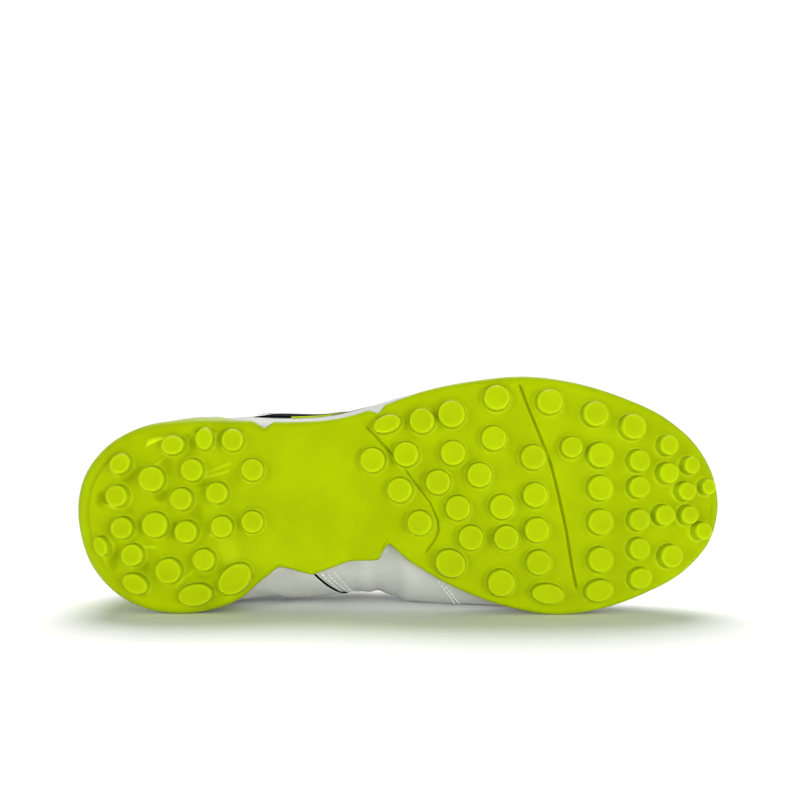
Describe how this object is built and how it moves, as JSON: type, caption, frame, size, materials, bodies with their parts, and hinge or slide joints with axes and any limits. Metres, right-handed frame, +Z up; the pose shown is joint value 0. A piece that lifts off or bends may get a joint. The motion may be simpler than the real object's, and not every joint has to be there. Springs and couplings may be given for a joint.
{
  "type": "turf shoe",
  "caption": "Low right turf shoe on its medial side: studded rubber outsole with arch notches, hollow laced upper with tongue, insole and heel counter.",
  "frame": {"origin": "on the floor under the middle of the shoe's box, as it lies on its medial side", "axes": "+X from heel to toe, -Y is the side that the studs face, +Z up from the floor to the lateral side"},
  "size_m": [0.2854, 0.1024, 0.1045],
  "materials": {
    "lime_rubber": "moulded, softly glossy",
    "white_leather": "fine pebbled grain, semi-matt",
    "black_leather": "smooth, semi-matt",
    "lime_synthetic": "smooth synthetic leather",
    "dark_footbed": "knitted cover",
    "black_textile": "padded mesh",
    "white_lace": "flat woven"
  },
  "bodies": {
    "root": {"outsole": "lime_rubber", "upper": "white_leather", "insole": "dark_footbed", "tongue": "black_textile", "laces": "white_lace", "heel_counter": "lime_synthetic", "saddle_lateral": "black_leather", "saddle_medial": "white_leather", "eyestay": "white_leather"}
  },
  "joints": []
}
